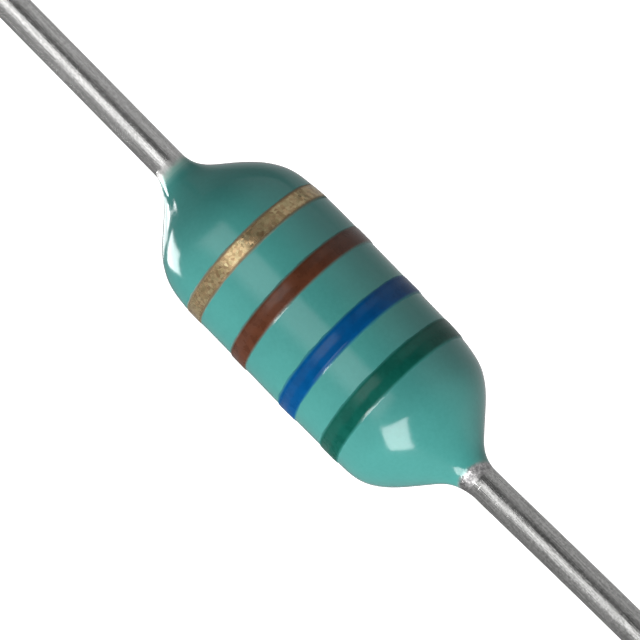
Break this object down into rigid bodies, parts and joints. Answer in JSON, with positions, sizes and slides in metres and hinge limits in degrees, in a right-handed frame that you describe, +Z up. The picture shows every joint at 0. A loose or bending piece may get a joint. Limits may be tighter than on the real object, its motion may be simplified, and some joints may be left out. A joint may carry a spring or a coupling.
{
  "type": "axial inductor",
  "caption": "Dipped axial inductor: a wound ferrite drum in a smooth spindle-shaped coat with colour bands, and a straight tinned lead at each end.",
  "frame": {"origin": "middle of the ferrite drum, which is also the middle of the whole part", "axes": "+X along the leads, towards the end with the green band; +Z up; round about X"},
  "size_m": [0.026, 0.0026, 0.0026],
  "materials": {
    "ferrite": "fired, dark grey, dull",
    "enamelled_wire": "enamelled copper, satin",
    "solder": "tin solder, satin",
    "lead_cement": "hard resin, dull",
    "tinned_lead": "drawn and tinned copper wire, satin with fine lengthwise grain",
    "epoxy_coat": "dipped epoxy, glossy, slightly uneven",
    "gold_ink": "metallic flake ink",
    "brown_ink": "ink, glossy",
    "blue_ink": "ink, glossy",
    "green_ink": "ink, glossy"
  },
  "bodies": {
    "root": {"ferrite_core": "ferrite", "winding": "enamelled_wire", "start_tail": "enamelled_wire", "finish_tail": "enamelled_wire", "start_solder": "solder", "finish_solder": "solder", "start_cement": "lead_cement", "finish_cement": "lead_cement", "start_lead": "tinned_lead", "finish_lead": "tinned_lead", "coat": "epoxy_coat", "gold_band": "gold_ink", "brown_band": "brown_ink", "blue_band": "blue_ink", "green_band": "green_ink"}
  },
  "joints": []
}
